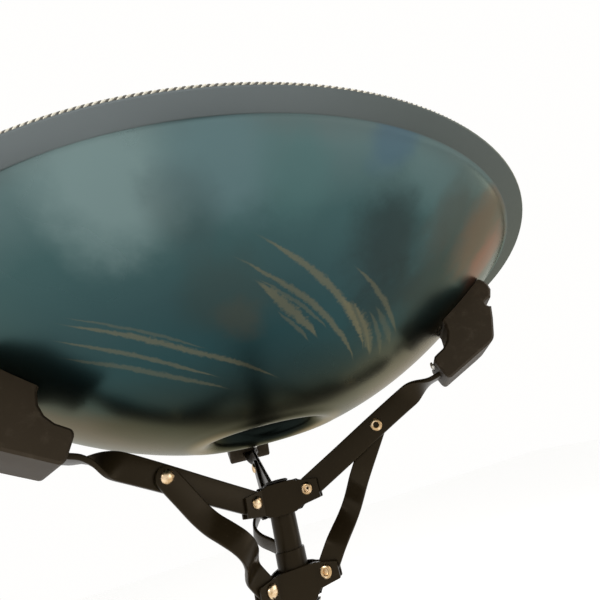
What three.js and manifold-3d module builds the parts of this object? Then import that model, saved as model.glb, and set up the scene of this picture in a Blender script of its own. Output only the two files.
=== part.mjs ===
import * as THREE from 'three';
import { mergeVertices } from 'three/addons/utils/BufferGeometryUtils.js';
import Module from 'manifold-3d';

// A handpan with its bottom shell resting in a black three-arm basket stand on a folding tripod.
// Millimetres, +Z up. The origin is on the stand's axis, on the floor.

const GAP = 0.3;
const ARM_AZIMUTHS = [-30, 90, 210];

// Handpan: two steel shells glued flange to flange, with a cord in the step round the rim.
const RIM_Z = 750;
const RIM_RADIUS = 280;
const BOWL_RADIUS = 267.8;
const BOWL_DEPTH = 102.1;
const DOME_HEIGHT = 95;
const BOWL_POWER = 0.96;
const SHELL_THICKNESS = 1.2;
const TOP_FLANGE_RADIUS = 275.4;
const CORD_RADIUS = 1.9;
const CORD_RING_RADIUS = 277.9;
const PORT_RADIUS = 46;
const PORT_NECK_TOP = -64;
const SHELL_SEGMENTS = 36;

// Basket: heights are measured from the rim plane.
const TUBE_RADIUS = 11;
const COLLAR_RADIUS = 12.6;
const PIVOT_RADIUS = 28;
const UPPER_PIVOT_Z = -149;
const LOWER_PIVOT_Z = -209.5;
const ARM_ANGLE = 24.1;
const ARM_TO_STRUT = 82.2;
const ARM_WIDTH = 19;
const ARM_THICKNESS = 4;
const STRUT_WIDTH = 17;
const STRUT_THICKNESS = 3;
const PLATE_THICKNESS = 2;
const EAR_OFFSET = 3.6;
const GRIP_WIDTH = 54;
const RIVET_RADIUS = 2.4;

// Tripod: heights are measured from the floor.
const OUTER_TUBE_RADIUS = 12.7;
const HEIGHT_TUBE_RADIUS = 9.5;
const LEG_PIVOT_Z = 262;
const LEG_ANGLE = 42.06;
const LEG_END = 326;
const LEG_WIDTH = 16;
const LEG_THICKNESS = 5;
const LEG_TO_BRACE = 130;
const BRACE_PIVOT_Z = 86;
const BRACE_WIDTH = 14;
const BRACE_THICKNESS = 3;
const BRACE_SIDE = LEG_THICKNESS / 2 + GAP + BRACE_THICKNESS / 2;
const LEG_PIVOT_RADIUS = 30;

const wasm = await Module();
wasm.setup();

const radians = THREE.MathUtils.degToRad;
const vector = (x, y) => new THREE.Vector2(x, y);
const direction = (degrees) => vector(Math.cos(radians(degrees)), Math.sin(radians(degrees)));

const COLOURS = {
  steel: 0x4f6468, cord: 0x6b665a, paint: 0x2a231b, brass: 0xb08d57, zinc: 0x9a9a96,
  chrome: 0xb8b8b8, rubber: 0x2f2820, plastic: 0x1d1a17,
};

const group = new THREE.Group();
group.name = 'handpan_on_stand';

function add(parent, name, geometry, colour, z = 0) {
  const material = new THREE.MeshStandardMaterial({ color: COLOURS[colour], roughness: 0.5 });
  const mesh = new THREE.Mesh(geometry, material);
  mesh.name = name;
  mesh.position.z = z;
  parent.add(mesh);
  return mesh;
}

// Closed solids for adding and cutting, and back again.
function solid(geometry) {
  const plain = geometry.clone();
  plain.deleteAttribute('normal');
  plain.deleteAttribute('uv');
  const merged = mergeVertices(plain, 1e-4);
  const vertProperties = Float32Array.from(merged.attributes.position.array);
  const triVerts = Uint32Array.from(merged.index.array);
  return new wasm.Manifold(new wasm.Mesh({ numProp: 3, vertProperties, triVerts }));
}

function geometryOf(shape) {
  const mesh = shape.getMesh();
  const geometry = new THREE.BufferGeometry();
  geometry.setAttribute('position', new THREE.BufferAttribute(Float32Array.from(mesh.vertProperties), 3));
  geometry.setIndex(new THREE.BufferAttribute(Uint32Array.from(mesh.triVerts), 1));
  geometry.computeVertexNormals();
  return geometry;
}

const cut = (body, ...tools) =>
  geometryOf(tools.reduce((left, tool) => left.subtract(solid(tool)), solid(body)));
const join = (...pieces) =>
  geometryOf(pieces.slice(1).reduce((all, next) => all.add(solid(next)), solid(pieces[0])));

// A solid of revolution about Z from (radius, height) points.
function turned(points, segments) {
  const profile = points.map(([r, z]) => vector(r, z));
  return new THREE.LatheGeometry(profile, segments).rotateX(Math.PI / 2);
}

function ring(inner, outer, low, high, segments = 24) {
  return turned([[inner, low], [outer, low], [outer, high], [inner, high], [inner, low]], segments);
}

// A round pin along the tangential Y axis, from its (radius, y) points, centred on (x, z).
function pinY(points, x, z, segments = 8) {
  const profile = points.map(([r, y]) => vector(r, y));
  return new THREE.LatheGeometry(profile, segments).translate(x, 0, z);
}

const drill = (x, z, radius, reach = 20) =>
  pinY([[0, -reach], [radius, -reach], [radius, reach], [0, reach]], x, z, 12);

// A side outline in the radius-height plane, given a width along Y centred on middle.
function sideBlock(shape, width, middle = 0, bevel = 0) {
  const settings = {
    depth: width - 2 * bevel, bevelEnabled: bevel > 0, bevelThickness: bevel,
    bevelSize: bevel, bevelOffset: -bevel, bevelSegments: 1, curveSegments: 4,
  };
  const block = new THREE.ExtrudeGeometry(shape, settings);
  return block.translate(0, 0, bevel - width / 2 - middle).rotateX(Math.PI / 2);
}

// A flat bar swept along a curve. Each station has a width, and a turn of its width about the path.
function sweptBar(curve, stations, thickness, widthAt, turnAt) {
  const geometry = new THREE.BoxGeometry(1, 1, 1, stations.length - 1, 1, 1);
  const position = geometry.attributes.position;
  const side = new THREE.Vector3(0, 1, 0);
  for (let i = 0; i < position.count; i += 1) {
    const index = Math.round((position.getX(i) + 0.5) * (stations.length - 1));
    const along = stations[index];
    const inside = THREE.MathUtils.clamp(along, 0, 1);
    const tangent = curve.getTangentAt(inside);
    const centre = curve.getPointAt(inside).addScaledVector(tangent, (along - inside) * curve.getLength());
    const across = side.clone().addScaledVector(tangent, -side.dot(tangent)).normalize();
    const wide = new THREE.Vector3().crossVectors(tangent, across).applyAxisAngle(tangent, turnAt(along));
    const thick = new THREE.Vector3().crossVectors(wide, tangent);
    centre.addScaledVector(wide, position.getZ(i) * widthAt(along));
    centre.addScaledVector(thick, position.getY(i) * thickness);
    position.setXYZ(i, centre.x, centre.y, centre.z);
  }
  return geometry;
}

// Stations for a bar whose rounded ends reach half a width past the ends of its curve.
function barStations(length, width, middle, roundEnd) {
  const half = width / 2 / length;
  const start = [-0.99, -0.92, -0.75, -0.4, 0].map((step) => step * half);
  const end = roundEnd ? [0, 0.4, 0.75, 0.92, 0.99].map((step) => 1 + step * half) : [1];
  return [...start, ...middle, ...end];
}

function roundedWidth(length, width, roundEnd) {
  return (along) => {
    const past = Math.max(-along, roundEnd ? along - 1 : 0, 0) * length;
    return 2 * Math.sqrt(Math.max((width / 2) ** 2 - past ** 2, 0.04));
  };
}

// ---------------------------------------------------------------- the handpan

const bowlZ = (r) => -BOWL_DEPTH * Math.pow(Math.max(1 - (r / BOWL_RADIUS) ** 2, 0), BOWL_POWER);
const domeZ = (r) => DOME_HEIGHT * Math.pow(Math.max(1 - (r / BOWL_RADIUS) ** 2, 0), BOWL_POWER);

// Points moved to one side of their own line by a distance, positive to the left of its run.
function offsetLine(points, distance) {
  return points.map(([r, z], i) => {
    const before = points[Math.max(i - 1, 0)];
    const after = points[Math.min(i + 1, points.length - 1)];
    const run = vector(after[0] - before[0], after[1] - before[1]).normalize();
    return [r - run.y * distance, z + run.x * distance];
  });
}

const bowlRadii = [258, 238, 212, 182, 150, 115, 82];
const bowlLine = bowlRadii.map((r) => [r, bowlZ(r)]);
const lipLine = [[70, -95.6], [63, -96], [55, -93.8], [49.4, -88.6], [46.4, -80]];
const bottomOutside = [
  [BOWL_RADIUS, -GAP / 2 - SHELL_THICKNESS],
  ...bowlLine,
  ...lipLine,
  [PORT_RADIUS, PORT_NECK_TOP],
];
const bottomInside = offsetLine(bottomOutside, -SHELL_THICKNESS).slice(1);
const bottomProfile = [
  [BOWL_RADIUS - 1.4, -GAP / 2],
  ...bottomInside,
  ...bottomOutside.slice().reverse(),
  [RIM_RADIUS - 0.5, -GAP / 2 - SHELL_THICKNESS],
  [RIM_RADIUS, -GAP / 2 - SHELL_THICKNESS / 2],
  [RIM_RADIUS - 0.5, -GAP / 2],
  [BOWL_RADIUS - 1.4, -GAP / 2],
];
add(group, 'bottom_shell', turned(bottomProfile, SHELL_SEGMENTS), 'steel', RIM_Z);

// The dome carries the centre note: a shallow ring with a raised middle.
const domeRadii = [258, 238, 212, 182, 150, 115, 82];
const noteLine = [[58, -1.6], [40, -4.2], [27, -2.4], [18, 2.8], [9, 6.4], [0, 7.5]];
const topOutside = [
  [BOWL_RADIUS, GAP / 2 + SHELL_THICKNESS],
  ...domeRadii.map((r) => [r, domeZ(r)]),
  ...noteLine.map(([r, rise]) => [r, domeZ(r) + rise]),
];
const topInside = offsetLine(topOutside, SHELL_THICKNESS).slice(1);
topInside[topInside.length - 1][0] = 0;
const topProfile = [
  ...topInside.slice().reverse(),
  [BOWL_RADIUS - 1.4, GAP / 2],
  [TOP_FLANGE_RADIUS, GAP / 2],
  [TOP_FLANGE_RADIUS, GAP / 2 + SHELL_THICKNESS],
  ...topOutside,
];
add(group, 'top_shell', turned(topProfile, SHELL_SEGMENTS), 'steel', RIM_Z);

const cordRing = new THREE.TorusGeometry(CORD_RING_RADIUS, CORD_RADIUS, 6, 48);
add(group, 'rim_cord', cordRing, 'cord', RIM_Z + GAP / 2 + CORD_RADIUS);

// ---------------------------------------------------------------- the basket's column and hubs

const tubeTop = RIM_Z - 138.5;
const tubeBottom = 455;
add(group, 'basket_tube', ring(TUBE_RADIUS - 1.2, TUBE_RADIUS, tubeBottom, tubeTop), 'paint');
const capProfile = [
  [0, tubeTop - 8], [9.3, tubeTop - 8], [9.3, tubeTop + GAP], [TUBE_RADIUS - 0.4, tubeTop + GAP],
  [TUBE_RADIUS - 0.4, tubeTop + 1.5], [TUBE_RADIUS - 2, tubeTop + 2.6], [0, tubeTop + 3],
];
add(group, 'tube_cap', turned(capProfile, 24), 'plastic');
add(group, 'hub_collar', ring(TUBE_RADIUS + GAP, COLLAR_RADIUS, RIM_Z - 163.5, RIM_Z - 138.5), 'paint');
const heightTube = ring(HEIGHT_TUBE_RADIUS - 1.5, HEIGHT_TUBE_RADIUS, 120, 500);
add(group, 'height_tube', heightTube, 'chrome');

// A strip of plate of even thickness along a plan polyline, as a closed outline.
function stripOutline(points, thickness) {
  const sideLine = (sign) => points.map((point, i) => {
    const into = points[i].clone().sub(points[Math.max(i - 1, 0)]).normalize();
    const out = points[Math.min(i + 1, points.length - 1)].clone().sub(point).normalize();
    const first = into.lengthSq() < 0.5;
    const last = out.lengthSq() < 0.5;
    const turning = into.clone().add(out).normalize();
    const run = first ? out : (last ? into : turning);
    const widen = first || last ? 1 : 1 / run.dot(out);
    return point.clone().add(vector(-run.y, run.x).multiplyScalar(sign * widen * thickness / 2));
  });
  return new THREE.Shape([...sideLine(1), ...sideLine(-1).reverse()]);
}

// A stamped plate runs from one arm's ear, past the tube, to the next arm's ear.
// Spans are the low and high edges of its panel, of the ears' roots and of their tips.
function hubPlate(spans, pivotZ) {
  const near = [vector(38.5, EAR_OFFSET), vector(21, EAR_OFFSET), vector(16.1, 6.9)];
  const far = near.map((point) => vector(point.x, -point.y).rotateAround(vector(0, 0), radians(120)));
  const outline = stripOutline([...near, ...far.reverse()], PLATE_THICKNESS);
  const plate = new THREE.ExtrudeGeometry(outline, { depth: 1, bevelEnabled: false });
  const position = plate.attributes.position;
  for (let i = 0; i < position.count; i += 1) {
    const reach = Math.hypot(position.getX(i), position.getY(i));
    const span = reach > 30 ? spans[2] : (reach > 19.5 ? spans[1] : spans[0]);
    position.setZ(i, THREE.MathUtils.lerp(span[0], span[1], position.getZ(i)));
  }
  const hole = drill(PIVOT_RADIUS, pivotZ, RIVET_RADIUS + GAP, 8);
  return cut(plate, hole, hole.clone().rotateZ(radians(120)));
}

const upperSpans = [[-163.5, -138.5], [-160.5, -140.5], [-158, -143]];
const lowerSpans = [[-225.5, -201.5], [-219.5, -202], [-215.8, -204.5]];

// A rivet with a domed head on its +Y side and a rolled hollow end on its -Y side.
function rivet(x, z, halfGrip) {
  const seat = halfGrip + GAP;
  const points = [
    [0, -seat - 0.4], [1.6, -seat - 0.6], [2.3, -seat - 1.8], [4.2, -seat - 1.6], [5, -seat],
    [RIVET_RADIUS, -seat], [RIVET_RADIUS, seat], [5.1, seat], [4.4, seat + 1.7], [2.4, seat + 2.6],
    [0, seat + 2.9],
  ];
  return pinY(points, x, z);
}

// The collar slides on the tube; the knob under it drives it up and closes the arms.
const sleeve = ring(TUBE_RADIUS + GAP, COLLAR_RADIUS, RIM_Z - 226.1, RIM_Z - 189.5);
add(group, 'hub_sleeve', sleeve, 'paint');
add(group, 'hub_washer', ring(TUBE_RADIUS + GAP, 17, RIM_Z - 227.9, RIM_Z - 226.5), 'zinc');

function wing(inner, outer, height, z) {
  const blade = new THREE.CylinderGeometry(height / 2, height / 2, 7, 20);
  blade.translate(outer - height / 2, 0, z);
  const web = new THREE.BoxGeometry(outer - height / 2 - inner, 6, height * 0.7);
  web.translate((inner + outer - height / 2) / 2, 0, z);
  return join(blade, web);
}

const knobBody = turned([
  [TUBE_RADIUS + GAP, -251.5], [15, -251.5], [17.5, -248.5], [17.5, -231.5], [16, -228.5],
  [TUBE_RADIUS + GAP, -228.5], [TUBE_RADIUS + GAP, -251.5],
], 24);
const knobWings = [60, 240].map((turn) => wing(15, 38, 18, -240).rotateZ(radians(turn)));
add(group, 'basket_knob', join(knobBody, ...knobWings), 'plastic', RIM_Z);

// ---------------------------------------------------------------- the basket's three arms

const armRun = direction(ARM_ANGLE);
const strutPin = [PIVOT_RADIUS + ARM_TO_STRUT * armRun.x, UPPER_PIVOT_Z + ARM_TO_STRUT * armRun.y];
const armPoints = [
  [PIVOT_RADIUS, UPPER_PIVOT_Z], [65, -132.6], strutPin, [133, -102.4], [146.5, -97], [159.5, -93.8],
  [174, -90.4], [190.5, -84.8], [207, -78.2],
];
const armSpots = armPoints.map(([r, z]) => new THREE.Vector3(r, 0, z));
const armCurve = new THREE.CatmullRomCurve3(armSpots, false, 'centripetal');
const armLength = armCurve.getLength();
const armStations = [0.2, 0.4, 0.57, 0.62, 0.66, 0.7, 0.74, 0.78, 0.83, 0.88, 0.94];
const armTurn = (along) => Math.PI / 2 * THREE.MathUtils.smoothstep(along, 0.58, 0.76);

function arm() {
  const stations = barStations(armLength, ARM_WIDTH, armStations, false);
  const widthAt = roundedWidth(armLength, ARM_WIDTH, false);
  const bar = sweptBar(armCurve, stations, ARM_THICKNESS, widthAt, armTurn);
  const hubHole = drill(PIVOT_RADIUS, UPPER_PIVOT_Z, RIVET_RADIUS + GAP);
  return cut(bar, hubHole, drill(...strutPin, RIVET_RADIUS + GAP));
}

// The half of the strut's rivet that stays with the arm: its rolled hollow end.
function armRivet() {
  const seat = -ARM_THICKNESS / 2 - GAP;
  const points = [
    [0, seat - 0.4], [1.8, seat - 0.6], [2.6, seat - 1.9], [4.6, seat - 1.7], [5.4, seat],
    [RIVET_RADIUS, seat], [RIVET_RADIUS, ARM_THICKNESS / 2], [0, ARM_THICKNESS / 2],
  ];
  return pinY(points, ...strutPin);
}

// Strut: a bar from the arm's side that bows out and comes back between the lower hub's ears.
const strutSide = ARM_THICKNESS / 2 + GAP + STRUT_THICKNESS / 2;
const strutBow = [
  [0, strutSide], [20, strutSide], [38, strutSide], [50, 7], [60, 14], [70, 20], [78, 21], [86, 17],
  [94, 8.5], [100, 2.6], [104, 0.4], [109, 0], [122, 0],
];

function strut() {
  const foot = vector(PIVOT_RADIUS, LOWER_PIVOT_Z);
  const head = vector(...strutPin);
  const reach = head.distanceTo(foot);
  const points = strutBow.map(([along, side]) => {
    const spot = head.clone().lerp(foot, along / 122);
    return new THREE.Vector3(spot.x, side, spot.y);
  });
  const curve = new THREE.CatmullRomCurve3(points, false, 'centripetal');
  const length = curve.getLength();
  const middle = Array.from({ length: 14 }, (_, i) => 0.26 + 0.047 * i);
  const stations = barStations(length, STRUT_WIDTH, middle, true);
  const bar = sweptBar(curve, stations, STRUT_THICKNESS, roundedWidth(length, STRUT_WIDTH, true), () => 0);
  const low = strutSide - STRUT_THICKNESS / 2;
  const high = strutSide + STRUT_THICKNESS / 2;
  const studPoints = [
    [0, low], [RIVET_RADIUS, low], [RIVET_RADIUS, high - 0.5], [5.3, high - 0.5], [5.3, high + 0.2],
    [4.6, high + 1.8], [2.6, high + 2.7], [0, high + 3],
  ];
  const stud = pinY(studPoints, ...strutPin);
  const drilled = cut(bar, drill(PIVOT_RADIUS, LOWER_PIVOT_Z, RIVET_RADIUS + GAP, reach / 10));
  return join(drilled, stud);
}

// Grip: a moulded rubber shoe. Its upper face is the bowl's own shape, over a hollow at its inner side.
const gripShape = new THREE.Shape();
gripShape.moveTo(176, -99.2);
gripShape.lineTo(209, -85.4);
gripShape.lineTo(215.6, -82.4);
gripShape.quadraticCurveTo(219.2, -81, 221.2, -75.6);
gripShape.lineTo(226, -64);
gripShape.lineTo(229.4, -54);
gripShape.quadraticCurveTo(225.6, -53, 226.6, -49);
gripShape.quadraticCurveTo(228.4, -46.6, 232.4, -46.4);
gripShape.lineTo(235.6, -39.8);
gripShape.quadraticCurveTo(236.6, -29.4, 228, -26);
gripShape.lineTo(186, -44);
gripShape.lineTo(188.8, -55.6);
gripShape.quadraticCurveTo(189, -73, 170.8, -79);
gripShape.quadraticCurveTo(168, -80.6, 168.4, -84.4);
gripShape.lineTo(171.2, -95.2);
gripShape.quadraticCurveTo(172.6, -100.2, 176, -99.2);

const bowlCutRadii = [0, 60, 102, 130, 158, 175, 185, 195, 205, 215, 225, 235, 245, 255, 262, BOWL_RADIUS];
const bowlCutLine = offsetLine(bowlCutRadii.map((r) => [r, bowlZ(r)]), -0.4);
bowlCutLine[0][0] = 0;
const bowlCutter = turned([...bowlCutLine, [300, 0], [300, 40], [0, 40]], 96);
const socketStations = [0.5, 0.6, 0.66, 0.7, 0.74, 0.78, 0.82, 0.86, 0.9, 0.95, 1.004];
const socketWidth = () => ARM_WIDTH + 2 * GAP;
const gripScrewAt = [168.3, -8, -83.6];

function grip() {
  const body = sideBlock(gripShape, GRIP_WIDTH, 0, 1.6);
  const socket = sweptBar(armCurve, socketStations, ARM_THICKNESS + 2 * GAP, socketWidth, armTurn);
  const screwHole = new THREE.CylinderGeometry(2.3, 2.3, 26, 16).rotateZ(Math.PI / 2);
  screwHole.translate(gripScrewAt[0], gripScrewAt[1], gripScrewAt[2]);
  return cut(body, bowlCutter, socket, screwHole);
}

function gripScrew() {
  const points = [[0, 0], [2, 0], [2, 12.6], [4, 12.6], [3.4, 14.2], [1.4, 14.8], [0, 14.4]];
  const screw = new THREE.LatheGeometry(points.map(([r, y]) => vector(r, y)), 12).rotateZ(Math.PI / 2);
  return screw.translate(gripScrewAt[0] + 12, gripScrewAt[1], gripScrewAt[2]);
}

ARM_AZIMUTHS.forEach((azimuth, i) => {
  const side = new THREE.Group();
  side.name = `basket_side_${i + 1}`;
  side.position.z = RIM_Z;
  side.rotation.z = radians(azimuth);
  group.add(side);
  add(side, `upper_hub_plate_${i + 1}`, hubPlate(upperSpans, UPPER_PIVOT_Z), 'paint');
  add(side, `upper_hub_rivet_${i + 1}`, rivet(PIVOT_RADIUS, UPPER_PIVOT_Z, EAR_OFFSET + 1), 'brass');
  add(side, `lower_hub_plate_${i + 1}`, hubPlate(lowerSpans, LOWER_PIVOT_Z), 'paint');
  add(side, `lower_hub_rivet_${i + 1}`, rivet(PIVOT_RADIUS, LOWER_PIVOT_Z, EAR_OFFSET + 1), 'brass');
  add(side, `arm_${i + 1}`, arm(), 'paint');
  add(side, `arm_rivet_${i + 1}`, armRivet(), 'brass');
  add(side, `strut_${i + 1}`, strut(), 'paint');
  add(side, `grip_${i + 1}`, grip(), 'rubber');
  add(side, `grip_screw_${i + 1}`, gripScrew(), 'zinc');
});

// ---------------------------------------------------------------- the tripod

const tubeEnd = 405;
const screwAzimuth = 150;
const screwRun = direction(screwAzimuth);
add(group, 'outer_tube', ring(OUTER_TUBE_RADIUS - 1.6, OUTER_TUBE_RADIUS, 60, tubeEnd), 'paint');
const plugProfile = [
  [0, 50], [OUTER_TUBE_RADIUS - 2, 50], [OUTER_TUBE_RADIUS, 52], [OUTER_TUBE_RADIUS, 60 - GAP],
  [OUTER_TUBE_RADIUS - 1.9, 60 - GAP], [OUTER_TUBE_RADIUS - 1.9, 70], [0, 70],
];
add(group, 'tube_end_plug', turned(plugProfile, 24), 'rubber');

// A boss on a collar that takes a thumb screw, and the screw's own hole through it.
function screwBoss(collar, from, to, z) {
  const boss = new THREE.CylinderGeometry(8, 8, to - from, 16).rotateZ(Math.PI / 2);
  boss.translate((from + to) / 2, 0, z);
  const hole = new THREE.CylinderGeometry(3 + GAP, 3 + GAP, 40, 16).rotateZ(Math.PI / 2).translate(28, 0, z);
  boss.rotateZ(radians(screwAzimuth));
  hole.rotateZ(radians(screwAzimuth));
  return cut(join(collar, boss), hole);
}

function thumbScrew(tip, z) {
  const points = [
    [0, tip], [3, tip], [3, tip + 21], [7, tip + 21], [7, tip + 31], [5, tip + 33], [0, tip + 33],
  ];
  const shank = new THREE.LatheGeometry(points.map(([r, y]) => vector(r, y)), 20).rotateZ(-Math.PI / 2);
  const bar = new THREE.BoxGeometry(8, 5, 38).translate(tip + 29, 0, 0);
  return join(shank, bar).translate(0, 0, z).rotateZ(radians(screwAzimuth));
}

const clampBody = turned([
  [13, 388], [18, 388], [19, 390], [19, 416], [17, 418], [HEIGHT_TUBE_RADIUS + GAP, 418],
  [HEIGHT_TUBE_RADIUS + GAP, tubeEnd + GAP], [13, tubeEnd + GAP], [13, 388],
], 24);
add(group, 'height_clamp', screwBoss(clampBody, 14, 27, 411), 'plastic');
add(group, 'height_screw', thumbScrew(HEIGHT_TUBE_RADIUS + GAP, 411), 'zinc');

// A pair of ears at each leg's azimuth, with a pivot hole through them.
function earPairs(collar, pivotZ, middle, inner) {
  const shape = new THREE.Shape();
  shape.moveTo(14, -9);
  shape.lineTo(LEG_PIVOT_RADIUS, -9);
  shape.absarc(LEG_PIVOT_RADIUS, 0, 9, -Math.PI / 2, Math.PI / 2, false);
  shape.lineTo(14, 9);
  const ears = [];
  const holes = [];
  ARM_AZIMUTHS.forEach((azimuth) => {
    [-1, 1].forEach((sign) => {
      const ear = sideBlock(shape, 2, middle + sign * (inner + 1)).translate(0, 0, pivotZ);
      ears.push(ear.rotateZ(radians(azimuth)));
    });
    const hole = drill(LEG_PIVOT_RADIUS, pivotZ, RIVET_RADIUS + GAP).rotateZ(radians(azimuth));
    holes.push(hole);
  });
  return cut(join(collar, ...ears), ...holes);
}

const bore = new THREE.CylinderGeometry(13, 13, 60, 24).rotateX(Math.PI / 2);
const legCollarBody = screwBoss(ring(13, 18, LEG_PIVOT_Z - 14, LEG_PIVOT_Z + 14), 14, 27, LEG_PIVOT_Z);
const legCollar = earPairs(legCollarBody, LEG_PIVOT_Z, 0, LEG_THICKNESS / 2 + GAP);
add(group, 'leg_collar', cut(legCollar, bore.clone().translate(0, 0, LEG_PIVOT_Z)), 'plastic');
add(group, 'leg_screw', thumbScrew(OUTER_TUBE_RADIUS + GAP, LEG_PIVOT_Z), 'zinc');
const braceRing = ring(13, 18, BRACE_PIVOT_Z - 12, BRACE_PIVOT_Z + 12);
const braceCollar = earPairs(braceRing, BRACE_PIVOT_Z, BRACE_SIDE, BRACE_THICKNESS / 2 + GAP);
add(group, 'brace_collar', cut(braceCollar, bore.clone().translate(0, 0, BRACE_PIVOT_Z)), 'plastic');

const legRun = direction(LEG_ANGLE - 90);
const legPoint = (along) => [LEG_PIVOT_RADIUS + along * legRun.x, LEG_PIVOT_Z + along * legRun.y];
const bracePin = legPoint(LEG_TO_BRACE);

function straightBar(from, to, side, width, thickness, roundEnd) {
  const start = new THREE.Vector3(from[0], side, from[1]);
  const end = new THREE.Vector3(to[0], side, to[1]);
  const curve = new THREE.LineCurve3(start, end);
  const length = start.distanceTo(end);
  const stations = barStations(length, width, [0.5], roundEnd);
  return sweptBar(curve, stations, thickness, roundedWidth(length, width, roundEnd), () => 0);
}

// Leg: a flat bar. The half of the brace's rivet that stays with it is a stud with a domed head.
function leg() {
  const bar = straightBar(legPoint(0), legPoint(LEG_END), 0, LEG_WIDTH, LEG_THICKNESS, false);
  const low = -LEG_THICKNESS / 2;
  const headPoints = [[0, low - 2.2], [2, low - 2], [3.7, low - 1.3], [4.3, low + 0.3], [0, low + 0.3]];
  const head = pinY(headPoints, ...bracePin);
  return join(cut(bar, drill(...legPoint(0), RIVET_RADIUS + GAP)), head);
}

function brace() {
  const start = [LEG_PIVOT_RADIUS, BRACE_PIVOT_Z];
  const bar = straightBar(start, bracePin, BRACE_SIDE, BRACE_WIDTH, BRACE_THICKNESS, true);
  const high = BRACE_SIDE + BRACE_THICKNESS / 2;
  const headPoints = [[0, high - 0.3], [4.3, high - 0.3], [3.7, high + 1.3], [2, high + 2], [0, high + 2.2]];
  const head = pinY(headPoints, ...bracePin);
  return join(cut(bar, drill(LEG_PIVOT_RADIUS, BRACE_PIVOT_Z, RIVET_RADIUS + GAP)), head);
}

// Foot: a rubber boot on the leg's end, flat where it meets the floor.
function foot() {
  const shape = new THREE.Shape([
    vector(216, 39.4), vector(236.2, 17.1), vector(240, 0), vector(272, 0), vector(275, 5),
    vector(232.5, 54.2),
  ]);
  const body = sideBlock(shape, 20, 0, 1.2);
  const socketTo = legPoint(LEG_END + GAP);
  const clear = LEG_THICKNESS + 2 * GAP;
  const socket = straightBar(legPoint(200), socketTo, 0, LEG_WIDTH + 2 * GAP, clear, false);
  return cut(body, socket);
}

ARM_AZIMUTHS.forEach((azimuth, i) => {
  const side = new THREE.Group();
  side.name = `tripod_side_${i + 1}`;
  side.rotation.z = radians(azimuth);
  group.add(side);
  add(side, `leg_${i + 1}`, leg(), 'paint');
  add(side, `foot_${i + 1}`, foot(), 'rubber');
  add(side, `brace_${i + 1}`, brace(), 'paint');
  const legRivet = rivet(LEG_PIVOT_RADIUS, LEG_PIVOT_Z, LEG_THICKNESS / 2 + GAP + 2);
  add(side, `leg_rivet_${i + 1}`, legRivet, 'brass');
  const braceRivet = rivet(LEG_PIVOT_RADIUS, BRACE_PIVOT_Z, BRACE_THICKNESS / 2 + GAP + 2);
  add(side, `brace_rivet_${i + 1}`, braceRivet.translate(0, BRACE_SIDE, 0), 'brass');
});

export default group;
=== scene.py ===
import math

import bpy
from mathutils import Matrix, Vector


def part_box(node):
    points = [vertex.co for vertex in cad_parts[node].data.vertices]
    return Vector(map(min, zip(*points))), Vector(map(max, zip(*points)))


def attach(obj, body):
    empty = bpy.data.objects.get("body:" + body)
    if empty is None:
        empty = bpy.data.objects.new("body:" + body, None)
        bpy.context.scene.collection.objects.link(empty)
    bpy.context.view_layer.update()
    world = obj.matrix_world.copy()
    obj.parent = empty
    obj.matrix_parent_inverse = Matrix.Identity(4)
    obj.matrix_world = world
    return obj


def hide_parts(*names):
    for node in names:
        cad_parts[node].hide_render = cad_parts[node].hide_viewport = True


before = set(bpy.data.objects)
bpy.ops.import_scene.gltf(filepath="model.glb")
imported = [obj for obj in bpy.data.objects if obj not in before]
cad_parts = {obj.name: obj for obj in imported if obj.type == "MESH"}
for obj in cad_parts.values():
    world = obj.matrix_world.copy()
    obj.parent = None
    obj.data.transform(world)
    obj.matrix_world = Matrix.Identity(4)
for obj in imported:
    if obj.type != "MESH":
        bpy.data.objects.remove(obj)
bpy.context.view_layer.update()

# Camera. It stands low and close, a little under the pan's rim, and looks up at the bottom shell. It is
# rolled about its own line of sight, so that the column seems to lean.
RIM_HEIGHT = 0.75
camera_data = bpy.data.cameras.new("camera")
camera_data.sensor_width = 36.0
camera_data.lens = 21.41
camera = bpy.data.objects.new("camera", camera_data)
bpy.context.scene.collection.objects.link(camera)
heading, pitch, roll = math.radians(70.37), math.radians(26.05), math.radians(-15.99)
forward = Vector((math.cos(heading) * math.cos(pitch), math.sin(heading) * math.cos(pitch), math.sin(pitch)))
level_right = forward.cross(Vector((0, 0, 1))).normalized()
level_up = level_right.cross(forward)
right = math.cos(roll) * level_right + math.sin(roll) * level_up
up = math.cos(roll) * level_up - math.sin(roll) * level_right
turn = Matrix((right, up, -forward)).transposed().to_4x4()
camera.matrix_world = Matrix.Translation((-0.0582, -0.3614, RIM_HEIGHT - 0.1423)) @ turn
bpy.context.scene.camera = camera


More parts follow.
